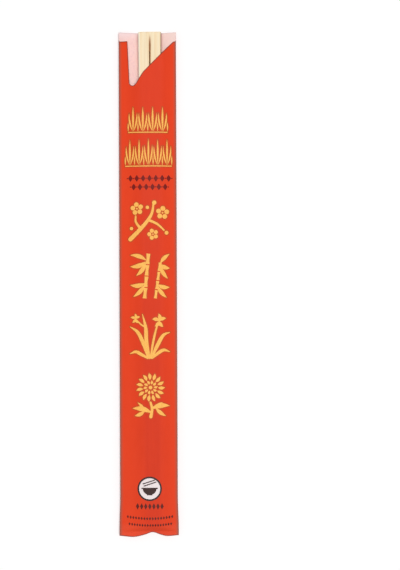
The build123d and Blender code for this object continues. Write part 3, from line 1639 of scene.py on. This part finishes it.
def mark_patches(mark: Mark, width: float, height: float, swell: float = 0.0) -> Patches:
    """Draws one mark, standing on the middle of its base.

    Args:
        mark: Which mark.
        width: Its width.
        height: Its height.
        swell: How much wider than drawn its lines become.

    Returns:
        Its patches.
    """
    pen = Pen(swell=swell)
    if mark is Mark.SPRIG:
        pen.leaf((0.0, 0.07 * height), (0.0, height), 0.2 * width)
        for side in (-1, 1):
            tip = (side * 0.4 * width, 0.76 * height)
            pen.leaf((side * 0.07 * width, 0.07 * height), tip, 0.17 * width, -side * 0.1 * width)
            pen.leaf((side * width / 2, 0.05 * height), (side * width / 2, 0.4 * height), 0.13 * width)
        pen.box(-width / 2, 0.0, width / 2, 0.035 * height)
    elif mark is Mark.BEAD:
        pen.patches.append(lozenge(0.74 * width + swell, height + swell))
        for side in (-1, 1):
            pen.dot((side * width / 2, height / 2), 0.1 * width)
    elif mark is Mark.LOZENGE:
        pen.patches.append(lozenge(width + swell, height + swell))
    else:
        line, steps = 0.062 * width, 12
        for share, opening in ((1.0, 31), (0.5, 37)):
            radius = share * (width - line) / 2
            points = []
            for step in range(steps + 1):
                turn = math.radians(opening + (180 - 2 * opening) * step / steps)
                points.append((*on_circle((0.0, 0.0), radius, turn), line))
            pen.stroke(*points, steps=1, blunt=True)
    return pen.patches


def lozenge(width: float, height: float) -> list[Point]:
    """A lozenge that stands on a level line."""
    half = width / 2
    return [(0.0, 0.0), (half, height / 2), (0.0, height), (-half, height / 2)]


@dataclass(frozen=True)
class Rows:
    """Where and how densely a mark is repeated, all in millimetres."""

    mark: Mark
    left: float
    right: float
    low: float
    high: float
    pitch: float
    fill: float = 0.8
    lines: int = 1
    line_pitch: float = 0.0
    lowest: float = 1.0
    seed: int = 1
    bow: float = 0.0


class RowRepeater:
    """A Geometry Nodes tree that repeats one flat mark along rows, with seeded unevenness."""

    SIZES = (
        ("Marks", "NodeSocketInt"),
        ("Lines", "NodeSocketInt"),
        ("Pitch", "NodeSocketFloat"),
        ("Line Pitch", "NodeSocketFloat"),
        ("Lowest", "NodeSocketFloat"),
        ("Seed", "NodeSocketInt"),
        ("Ink", "NodeSocketMaterial"),
    )

    def __init__(self) -> None:
        """Builds the tree."""
        self.tree = bpy.data.node_groups.new("repeat_in_rows", "GeometryNodeTree")
        face = self.tree.interface
        face.new_socket("Mark", in_out="INPUT", socket_type="NodeSocketGeometry")
        self.sockets = {}
        for name, kind in self.SIZES:
            self.sockets[name] = face.new_socket(name, in_out="INPUT", socket_type=kind).identifier
        face.new_socket("Printed", in_out="OUTPUT", socket_type="NodeSocketGeometry")
        given = self.tree.nodes.new("NodeGroupInput").outputs
        sizes = {
            "Size X": self._run(given["Marks"], given["Pitch"]),
            "Size Y": self._run(given["Lines"], given["Line Pitch"]),
        }
        counts = {"Vertices X": given["Marks"], "Vertices Y": given["Lines"]}
        grid = self._node("GeometryNodeMeshGrid", {**sizes, **counts})
        # Inputs 2 and 3 and output 1 are the node's sockets for plain numbers.
        heights = {2: given["Lowest"], 3: 1.0, "Seed": given["Seed"]}
        uneven = self._node("FunctionNodeRandomValue", heights, data_type="FLOAT")[1]
        scale = self._node("ShaderNodeCombineXYZ", {"X": 1.0, "Y": uneven, "Z": 1.0})
        placed = self._node(
            "GeometryNodeInstanceOnPoints",
            {"Points": grid["Mesh"], "Instance": given["Mark"], "Scale": scale[0]},
        )
        plain = self._node("GeometryNodeRealizeInstances", {"Geometry": placed[0]})
        inked = self._node("GeometryNodeSetMaterial", {"Geometry": plain[0], "Material": given["Ink"]})
        out = self.tree.nodes.new("NodeGroupOutput")
        self.tree.links.new(inked[0], out.inputs["Printed"])

    def _node(self, kind: str, sockets: dict, **settings: str) -> bpy.types.NodeOutputs:
        """Adds a node, with values or links for its inputs.

        Args:
            kind: The node's type.
            sockets: The values or links, by the inputs' names or numbers.
            **settings: Its properties, set first.

        Returns:
            Its outputs.
        """
        node = self.tree.nodes.new(kind)
        for name, value in settings.items():
            setattr(node, name, value)
        for name, value in sockets.items():
            if isinstance(value, bpy.types.NodeSocket):
                self.tree.links.new(value, node.inputs[name])
            else:
                node.inputs[name].default_value = value
        return node.outputs

    def _run(self, count: bpy.types.NodeSocket, pitch: bpy.types.NodeSocket) -> bpy.types.NodeSocket:
        """The distance from the first to the last of so many marks."""
        gaps = self._node("ShaderNodeMath", {0: count, 1: 1}, operation="SUBTRACT")[0]
        return self._node("ShaderNodeMath", {0: gaps, 1: pitch}, operation="MULTIPLY")[0]

    def patches(self, rows: Rows, ink: bpy.types.Material, swell: float = 0.0) -> Patches:
        """Repeats a mark and reads the result back as flat patches.

        Args:
            rows: The rows.
            ink: The ink's material.
            swell: How much wider than drawn the marks become.

        Returns:
            The patches, in their places on the packet.
        """
        height = rows.high - rows.low
        shapes = mark_patches(rows.mark, rows.pitch * rows.fill, height, swell)
        points, faces = [], []
        for shape in shapes:
            faces.append(tuple(range(len(points), len(points) + len(shape))))
            points += [(x, y, 0) for x, y in shape]
        mesh = bpy.data.meshes.new("mark")
        mesh.from_pydata(points, [], faces)
        carrier = into_scene("mark", mesh)
        modifier = carrier.modifiers.new("rows", "NODES")
        modifier.node_group = self.tree
        values = {
            "Marks": max(1, round((rows.right - rows.left) / rows.pitch)),
            "Lines": rows.lines,
            "Pitch": rows.pitch,
            "Line Pitch": rows.line_pitch,
            "Lowest": rows.lowest,
            "Seed": rows.seed,
            "Ink": ink,
        }
        for name, value in values.items():
            modifier[self.sockets[name]] = value
        depsgraph = bpy.context.evaluated_depsgraph_get()
        printed = bpy.data.meshes.new_from_object(carrier.evaluated_get(depsgraph))
        carrier.modifiers.clear()
        bpy.data.objects.remove(carrier)
        middle = (rows.left + rows.right) / 2
        lift = rows.low + rows.line_pitch * (rows.lines - 1) / 2
        half = (rows.right - rows.left) / 2
        found = []
        for polygon in printed.polygons:
            corners = [printed.vertices[number].co for number in polygon.vertices]
            bowed = [co.y + lift - rows.bow * (1 - (co.x / half) ** 2) for co in corners]
            found.append([(middle + co.x, y) for co, y in zip(corners, bowed)])
        bpy.data.meshes.remove(printed)
        return found


@dataclass(frozen=True)
class Ink:
    """Printing ink on the paper, a little uneven over its fibres."""

    name: str
    colour: Colour
    bright: Optional[Colour] = None
    cloud: Grain = Grain(0.4, 2.0)
    bright_flecks: Span = (0.4, 0.62)
    fibre_height: float = 0.015
    light: Sway = Sway(0.9, 0.08)
    fleck_light: float = 0.12
    roughness: Sway = Sway(0.5, 0.2)
    gloss: float = 0.2

    def material(self) -> bpy.types.Material:
        """Makes the material.

        Returns:
            The material.
        """
        bench = Bench(f"{self.name}_ink")
        x, y, z = bench.place()
        at = bench.vector(x, y, z)
        cloud = bench.mottle(at, self.cloud)
        fleck = bench.mottle(at, FLECK)
        colour = self.colour
        if self.bright:
            colour = bench.blend(fleck.rise(*self.bright_flecks), colour, self.bright)
        colour = bench.shade(colour, self.light.of(cloud) + self.fleck_light * fleck)
        relief = bench.emboss(bench.fibres(x, y, z), self.fibre_height)
        bench.finish(Specular_IOR_Level=self.gloss)
        return bench.finish(Base_Color=colour, Roughness=self.roughness.of(fleck), Normal=relief)


@dataclass(frozen=True)
class Palette:
    """The inks that the sleeve is printed with over its red, and the painted shade along its cut edges.
    """

    gold: Ink = Ink("gold", srgb(252, 176, 82), srgb(253, 200, 100))
    keyline: Ink = Ink("keyline", srgb(200, 74, 26))
    maroon: Ink = Ink("maroon", srgb(122, 18, 10))
    dark: Ink = Ink("dark", srgb(62, 40, 38))
    small: Ink = Ink("small", srgb(98, 28, 20))
    pale: Ink = Ink("pale", srgb(238, 226, 226))
    # Painted shade along the cut edges, laid like an ink
    edge_shade: Ink = Ink("edge_shade", srgb(150, 62, 46))

    def mixed(self) -> dict[str, bpy.types.Material]:
        """Makes every ink.

        Returns:
            The materials, by the inks' names.
        """
        inks = [getattr(self, each.name) for each in fields(self)]
        return {ink.name: ink.material() for ink in inks}


def bowl_and_sticks(pen: Pen) -> None:
    """A filled bowl on its foot, with a pair of sticks above it.

    Args:
        pen: What draws it.
    """
    pen.stroke((-3.6, 0.2, 0.6), (3.6, 0.2, 0.6), steps=2)
    side = ((3.2, -0.1), (3.0, -1.0), (2.5, -1.8), (1.6, -2.5))
    pen.patch([*side, *[(-x, y) for x, y in reversed(side)]])
    pen.box(-1.3, -3.0, 1.3, -2.4)
    pen.stroke((-2.6, 1.3, 0.5), (2.9, 3.1, 0.5), steps=2)
    pen.stroke((-3.1, 2.3, 0.5), (2.3, 4.0, 0.5), steps=2)


class Layer(Enum):
    """How far a layer of ink stands off the paper, in millimetres."""

    # The painted shade along the cut edges
    EDGE_SHADE = 0.01
    UNDER = 0.015
    OVER = 0.03


@dataclass(frozen=True)
class PrintShop:
    """Merges flat inked patches and folds them onto the sleeve."""

    sleeve: Sleeve
    inks: dict[str, bpy.types.Material]
    repeater: RowRepeater
    # The line of painted shade along the cut edges
    edge_shade_width: float = 0.34
    edge_shade_inset: float = 0.55
    hem_share: float = 0.996
    hem_steps: int = 30
    bowl_disc: float = 5.3
    tolerance: float = 1e-5
    least_face: float = 1e-6  # leaves out slivers, which can't be seen and can face the wrong way
    past_edge: float = 1e-4
    cut_pitch: float = 0.62
    cut_shift: float = 0.013
    cuts: int = 21

    def disc(
        self, name: str, side: Side, centre: Point, radius: float, line: float
    ) -> list[bpy.types.Object]:
        """Prints a pale disc with a dark ring round it and a bowl and sticks on it.

        Args:
            name: What the pieces' names start with.
            side: The side of the packet it is on.
            centre: Its middle.
            radius: Its size.
            line: How wide the ring's line is.

        Returns:
            The two pieces.
        """
        pale, ring = Pen(centre), Pen(centre)
        pale.dot((0, 0), radius)
        ring.ring((0, 0), radius, line)
        bowl = patches_of(bowl_and_sticks, centre, scale=radius / self.bowl_disc)
        return [
            self.lay(f"{name}_disc", side, pale.patches, "pale", Layer.UNDER),
            self.lay(f"{name}_disc_ring", side, ring.patches + bowl, "dark"),
        ]

    def rows(self, rows: Sequence[Rows], ink: str, swell: float = 0.0) -> Patches:
        """The patches of several rows of marks.

        Args:
            rows: The rows.
            ink: The name of their ink.
            swell: How much wider than drawn the marks become.

        Returns:
            The patches.
        """
        patches = []
        for each in rows:
            patches += self.repeater.patches(each, self.inks[ink], swell)
        return patches

    def lay(
        self,
        name: str,
        side: Side,
        patches: Patches,
        ink: str,
        layer: Layer = Layer.OVER,
    ) -> bpy.types.Object:
        """Makes one layer of ink.

        Args:
            name: The piece's name.
            side: The side of the packet it is on.
            patches: Its flat patches, in their places across and along.
            ink: The ink's name.
            layer: How far it stands off the paper.

        Returns:
            The piece.
        """
        points: list[Vector] = []
        faces: list[list[int]] = []
        for patch in patches:
            outline = [Vector(point) for point in patch]
            hull = geometry.convex_hull_2d(outline)
            faces.append(list(range(len(points), len(points) + len(hull))))
            points += [outline[number] for number in hull]
        edges = []
        for line in self._fold_lines(points):
            edges.append((len(points), len(points) + 1))
            points += line
        made = geometry.delaunay_2d_cdt(points, edges, faces, TRIANGLES_INSIDE, self.tolerance)
        spots, triangles, covers = made[0], made[2], made[5]
        mesher = Mesher()
        numbers: dict[tuple[int, bool], int] = {}
        for face, cover in zip(triangles, covers):
            ends = [spots[number] for number in face]
            if not cover or geometry.area_tri(*ends) < self.least_face:
                continue
            middle = sum(end.x for end in ends) / len(ends)
            beyond = side is Side.BACK and middle > self.sleeve.free_edge
            corners = []
            for number in face:
                key = (number, beyond)
                if key not in numbers:
                    numbers[key] = len(mesher.points)
                    place = self._lifted(spots[number], side, beyond, layer.value)
                    mesher.points.append(place)
                corners.append(numbers[key])
            mesher.faces.append(tuple(corners if side is Side.FRONT else corners[::-1]))
            mesher.slots.append(0)
        return mesher.made(name, [self.inks[ink]])

    def _lifted(self, point: Vector, side: Side, beyond: bool, lift: float) -> Place:
        """Places a point of ink just off the paper.

        Args:
            point: The point across and along.
            side: The side of the packet.
            beyond: Whether it is on the strip beyond the back panel's free edge.
            lift: How far it stands off the paper.

        Returns:
            The place.
        """
        x, y = point
        if side is Side.FRONT:
            return x, y, self.sleeve.front_height(x, y) + lift
        if beyond:
            x = max(x, self.sleeve.free_edge + self.past_edge)
        else:
            x = min(x, self.sleeve.free_edge)
        return x, y, self.sleeve.back_height(x, y) - lift

    def edge_shade_lines(self, side: Side) -> Patches:
        """The thin line of painted shade along a panel's cut edges: at its mouth and along the hem.

        Args:
            side: The side of the packet.

        Returns:
            The patches.
        """
        sleeve = self.sleeve
        reach = sleeve.mouth_reach
        half, width = sleeve.half_width * self.hem_share, self.edge_shade_width
        if side is Side.FRONT:
            outline = [(-reach, 0.0), *sleeve.notch.outline(), (reach, 0.0)]
            mouth = [(x, sleeve.front_edge - depth) for x, depth in outline]
        else:
            mouth = [(x, sleeve.mouth) for x in (-reach, sleeve.free_edge, reach)]
        steps = self.hem_steps
        across = [half * (step / steps - 1) for step in range(2 * steps + 1)]
        hem = [(x, sleeve.hem(x)) for x in reversed(across)]
        pen = Pen()
        for edge in (mouth, hem):
            places = [Vector(place) for place in edge]
            track = []
            for at, place in enumerate(places):
                run = (places[min(at + 1, len(places) - 1)] - places[max(at - 1, 0)]).normalized()
                inward = Vector((run.y, -run.x)) * width * self.edge_shade_inset
                track.append((*(place + inward), width))
            for start, end in zip(track, track[1:]):
                pen.stroke(start, end, steps=1, blunt=True)
        return pen.patches

    def _fold_lines(self, points: Sequence[Vector]) -> list[tuple[Vector, Vector]]:
        """Lines along and across at which the ink is cut, so that it follows the paper's bends.

        Args:
            points: The corners of all the patches.

        Returns:
            The lines, each by its two ends.
        """
        low = min(point.y for point in points) - 1
        high = max(point.y for point in points) + 1
        left = min(point.x for point in points)
        right = max(point.x for point in points)
        steps = range(-self.cuts, self.cuts + 1)
        places = [self.sleeve.free_edge, *[self.cut_pitch * step + self.cut_shift for step in steps]]
        lines = [(Vector((x, low)), Vector((x, high))) for x in places if left < x < right]
        for y in self.sleeve.closing_rows():
            if low + 1 < y < high - 1:
                lines.append((Vector((left - 1, y)), Vector((right + 1, y))))
        return lines


@dataclass(frozen=True)
class FrontPrint:
    """What is printed on the front panel: two friezes, two beaded bars, four plants and a disc."""

    shop: PrintShop
    halo: float = 1.0
    friezes: tuple[Rows, ...] = (
        Rows(Mark.SPRIG, -9.0, 9.3, 70.6, 82.6, 4.57, 1.0, lowest=0.94, seed=3),
        Rows(Mark.SPRIG, -10.4, 11.2, 54.9, 67.8, 4.32, 1.0, lowest=0.94, seed=8),
    )
    bars: tuple[Rows, ...] = (
        Rows(Mark.BEAD, -9.5, 11.2, 47.8, 51.0, 2.96, 1.0),
        Rows(Mark.BEAD, -8.0, 9.6, 43.8, 47.0, 2.93, 1.0),
    )
    plants: tuple[tuple[Drawing, Point], ...] = (
        (plum_branch, (0.75, 29.7)),
        (bamboo_stems, (0.75, 4.0)),
        (orchid_clump, (0.75, -23.8)),
        (chrysanthemum, (0.75, -51.4)),
    )
    disc: Point = (0.36, -94.9)
    disc_radius: float = 5.3
    disc_line: float = 0.8
    small_rows: tuple[Rows, ...] = (
        Rows(Mark.LOZENGE, -6.2, 7.0, -104.6, -101.6, 1.9, 0.82),
        Rows(Mark.LOZENGE, -10.5, 11.4, -108.7, -107.1, 1.29, bow=0.9),
        Rows(Mark.LOZENGE, -9.7, 10.9, -112.0, -110.5, 1.21, bow=0.7),
    )

    def build(self) -> list[bpy.types.Object]:
        """Makes every layer of ink on the front.

        Returns:
            The pieces.
        """
        shop = self.shop
        marks = shop.rows(self.small_rows, "small")
        outlines = self._gold("keyline", self.halo)
        return [
            shop.lay("front_outlines", Side.FRONT, outlines, "keyline", Layer.UNDER),
            shop.lay("front_gold", Side.FRONT, self._gold("gold", 0.0), "gold"),
            shop.lay("beaded_bars", Side.FRONT, shop.rows(self.bars, "maroon"), "maroon"),
            shop.lay("front_small_marks", Side.FRONT, marks, "small"),
            *shop.disc("front", Side.FRONT, self.disc, self.disc_radius, self.disc_line),
            shop.lay("front_edge_shade", Side.FRONT, shop.edge_shade_lines(Side.FRONT), "edge_shade", Layer.EDGE_SHADE),
        ]

    def _gold(self, ink: str, swell: float) -> Patches:
        """The patches of all that is printed in gold, or of the outlines behind it.

        Args:
            ink: The ink's name.
            swell: How much wider than drawn it becomes.

        Returns:
            The patches.
        """
        patches = self.shop.rows(self.friezes, ink, swell)
        for draw, centre in self.plants:
            patches += patches_of(draw, centre, swell)
        return patches


def stick_outline(pen: Pen, head: Point, tip: Point) -> None:
    """The outline of one stick, which tapers to its tip.

    Args:
        pen: What draws it.
        head: The middle of its thick end.
        tip: The middle of its thin end.
    """
    width, taper, line = 1.25, 0.6, 0.5
    run = (Vector(tip) - Vector(head)).normalized()
    side = Vector((-run.y, run.x)) * width / 2
    corners = [Vector(head) + side, Vector(tip) + side * taper, Vector(tip) - side * taper]
    corners += [Vector(head) - side, Vector(head) + side]
    for start, end in zip(corners, corners[1:]):
        pen.stroke((*start, line), (*end, line), steps=1)


def sticks_at_rest(pen: Pen) -> None:
    """Line drawing: a pair of sticks laid across a small rest.

    Args:
        pen: What draws it.
    """
    stick_outline(pen, (9.6, 5.4), (-9.4, -3.4))
    stick_outline(pen, (9.9, 2.6), (-9.0, -6.1))
    pen.stroke((-8.0, -7.0, 0.55), (-5.0, -6.5, 0.55), (-2.0, -7.0, 0.55))
    pen.stroke((-1.4, -7.0, 0.55), (-2.0, -4.6, 0.55), (-1.2, -2.9, 0.55))


def bowl_of_rice(pen: Pen) -> None:
    """Line drawing: a heaped bowl with a pair of sticks laid over it.

    Args:
        pen: What draws it.
    """
    pen.stroke((-8.0, -1.4, 0.6), (8.0, -1.4, 0.6), steps=2)
    side = ((7.7, -1.8, 0.6), (6.2, -4.8, 0.6), (3.2, -6.4, 0.6), (0.0, -6.7, 0.6))
    pen.stroke(*side)
    pen.stroke(*[(-x, y, width) for x, y, width in side])
    pen.stroke((-6.4, -1.2, 0.5), (-3.4, 1.0, 0.5), (0.0, 1.7, 0.5), (3.4, 1.0, 0.5), (6.4, -1.2, 0.5))
    stick_outline(pen, (9.6, 6.6), (-8.8, 1.2))
    stick_outline(pen, (9.8, 4.2), (-9.0, -0.4))


def sticks_and_dumpling(pen: Pen) -> None:
    """Line drawing: a pair of sticks that hold a dumpling between their tips.

    Args:
        pen: What draws it.
    """
    stick_outline(pen, (9.8, 6.8), (-5.8, -1.9))
    stick_outline(pen, (10.1, 1.7), (-5.4, -5.6))
    pen.ring((-7.6, -4.0), 2.2, 0.55, 24)
    for turn in (-1.0, 0.0, 1.0):
        pen.stroke((-7.6 + turn, -2.2, 0.4), (-7.6 + 0.5 * turn, -3.7, 0.4), steps=1)


@dataclass(frozen=True)
class BackPrint:
    """What is printed on the back: gold sprigs, three line drawings, panels of waves and a disc."""

    shop: PrintShop
    left: float = -11.3
    right: float = 9.4
    halo: float = 0.3
    bars: tuple[float, ...] = (104.1, 99.7, 95.3, 90.9)
    bar_height: float = 3.5
    sprig_pitch: float = 2.96
    drawings: tuple[tuple[Drawing, Point], ...] = (
        (sticks_at_rest, (-0.6, 82.4)),
        (bowl_of_rice, (-0.6, 44.4)),
        (sticks_and_dumpling, (-0.6, 6.6)),
    )
    panels: tuple[Point, ...] = (
        (54.0, 73.8),
        (17.6, 33.2),
        (-15.4, -4.7),
        (-89.5, -20.5),
    )
    waves_across: int = 3
    small_rows: tuple[Rows, ...] = (
        Rows(Mark.LOZENGE, -11.0, 9.4, -105.2, -103.6, 1.28),
        Rows(Mark.LOZENGE, -10.4, 8.8, -108.4, -106.8, 1.28),
    )
    disc: Point = (-0.68, -96.6)
    disc_radius: float = 3.7
    disc_line: float = 0.6

    def build(self) -> list[bpy.types.Object]:
        """Makes every layer of ink on the back.

        Returns:
            The pieces.
        """
        shop = self.shop
        lines = []
        for draw, centre in self.drawings:
            patches = patches_of(draw, centre)
            lines += [[(2 * centre[0] - x, y) for x, y in patch] for patch in patches]
        waves = []
        for low, high in self.panels:
            waves += self._waves(low, high)
        marks = shop.rows([*waves, *self.small_rows], "small")
        outlines = self._sprigs("keyline", self.halo)
        return [
            shop.lay("back_outlines", Side.BACK, outlines, "keyline", Layer.UNDER),
            shop.lay("back_gold", Side.BACK, self._sprigs("gold", 0.0), "gold"),
            shop.lay("back_drawings", Side.BACK, lines, "maroon"),
            shop.lay("back_waves", Side.BACK, marks, "small"),
            *shop.disc("back", Side.BACK, self.disc, self.disc_radius, self.disc_line),
            shop.lay("back_edge_shade", Side.BACK, shop.edge_shade_lines(Side.BACK), "edge_shade", Layer.EDGE_SHADE),
        ]

    def _sprigs(self, ink: str, swell: float) -> Patches:
        """The patches of the rows of gold sprigs, or of the outlines behind them.

        Args:
            ink: The ink's name.
            swell: How much wider than drawn they become.

        Returns:
            The patches.
        """
        rows = []
        for low in self.bars:
            high = low + self.bar_height
            rows.append(Rows(Mark.SPRIG, self.left, self.right, low, high, self.sprig_pitch, 1.0))
        return self.shop.rows(rows, ink, swell)

    def _waves(self, low: float, high: float) -> list[Rows]:
        """The rows of one panel of wave scales, every other one set over by half a scale.

        Args:
            low: The panel's lower edge.
            high: Its upper edge.

        Returns:
            The rows.
        """
        pitch = (self.right - self.left) / self.waves_across
        radius = pitch / 2
        rows = []
        for shift in (0, 1):
            first = low + shift * radius / 2
            lines = int((high - radius - first) / radius) + 1
            inset = shift * radius
            left, right = self.left + inset, self.right - inset
            sizes = {"lines": lines, "line_pitch": radius}
            rows.append(Rows(Mark.WAVE, left, right, first, first + radius, pitch, 1.0, **sizes))
        return rows


@dataclass(frozen=True)
class Studio:
    """The table, the lamps and the camera over the packet."""

    lens: float = 100.0
    sensor: float = 36.0
    frame_height: float = 265.62
    aim: Point = (24.13, -0.26)
    packet_height: float = 2.8
    roll: float = -0.2235
    table: float = 6000.0
    table_depth: float = 0.04
    sky: float = 0.27
    key_share: float = 0.735
    key_place: Place = (140.0, 60.0, 1500.0)
    key_softness: float = 26.0

    def build(self) -> None:
        """Sets the table, the sky, the lamp and the camera."""
        self._table()
        self._sky()
        self._lamp()
        self._camera()

    def _table(self) -> None:
        """A white table just under the packet, clear of the ink on its back."""
        half, low = self.table * MM, -self.table_depth * MM
        corners = [(-half, -half, low), (half, -half, low), (half, half, low), (-half, half, low)]
        mesh = bpy.data.meshes.new("table")
        mesh.from_pydata(corners, [], [(0, 1, 2, 3)])
        mesh.materials.append(StudioFloor().material())
        table = into_scene("table", mesh)

    def _sky(self) -> None:
        """Even white light from all round, white to the camera too."""
        world = bpy.data.worlds.new("studio")
        world.use_nodes = True
        nodes, links = world.node_tree.nodes, world.node_tree.links
        background = nodes["Background"]
        background.inputs["Color"].default_value = (1, 1, 1, 1)
        path = nodes.new("ShaderNodeLightPath")
        spread = nodes.new("ShaderNodeMapRange")
        spread.inputs["To Min"].default_value = self.sky
        spread.inputs["To Max"].default_value = 1.0
        links.new(path.outputs["Is Camera Ray"], spread.inputs["Value"])
        links.new(spread.outputs["Result"], background.inputs["Strength"])
        bpy.context.scene.world = world

    def _lamp(self) -> None:
        """One soft lamp high above the packet, which lights the whole table evenly."""
        lamp = bpy.data.lights.new("key", "SUN")
        lamp.angle = math.radians(self.key_softness)
        place = Vector(self.key_place) * MM
        lamp.energy = self.key_share * math.pi * place.length / place.z
        key = into_scene("key", lamp)
        key.location = place
        key.rotation_euler = place.to_track_quat("Z", "Y").to_euler()

    def _camera(self) -> None:
        """A camera looking straight down from the photograph's distance."""
        data = bpy.data.cameras.new("camera")
        data.lens = self.lens
        data.sensor_width = self.sensor
        camera = into_scene("camera", data)
        distance = self.frame_height * self.lens / self.sensor
        place = (self.aim[0], self.aim[1], self.packet_height + distance)
        camera.location = Vector(place) * MM
        camera.rotation_euler = (0, 0, math.radians(self.roll))
        bpy.context.scene.camera = camera


def show_colours_plainly() -> None:
    """Sets the view transform under which a colour shows as it is written."""
    bpy.context.scene.view_settings.view_transform = "Standard"


def main() -> None:
    """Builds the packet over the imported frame, piece by piece."""
    logging.basicConfig(level=logging.INFO, format="%(message)s")
    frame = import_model()
    show_colours_plainly()
    sleeve = Sleeve()

    sticks = frame["nodes"]["twin_chopsticks"]
    bamboo = Bamboo(sleeve.pair).material()
    for slot in sticks.material_slots:
        slot.material = bamboo
    log.info("twin_chopsticks: dressed")

    folded = SleeveBuilder(sleeve).build()
    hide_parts("paper_sleeve")
    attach(folded, "root")
    log.info("%s: %d faces", folded.name, len(folded.data.polygons))

    shop = PrintShop(sleeve, Palette().mixed(), RowRepeater())
    for layer in FrontPrint(shop).build() + BackPrint(shop).build():
        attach(layer, "root")
        log.info("%s: %d faces", layer.name, len(layer.data.polygons))

    Studio().build()


if __name__ == "__main__":
    main()
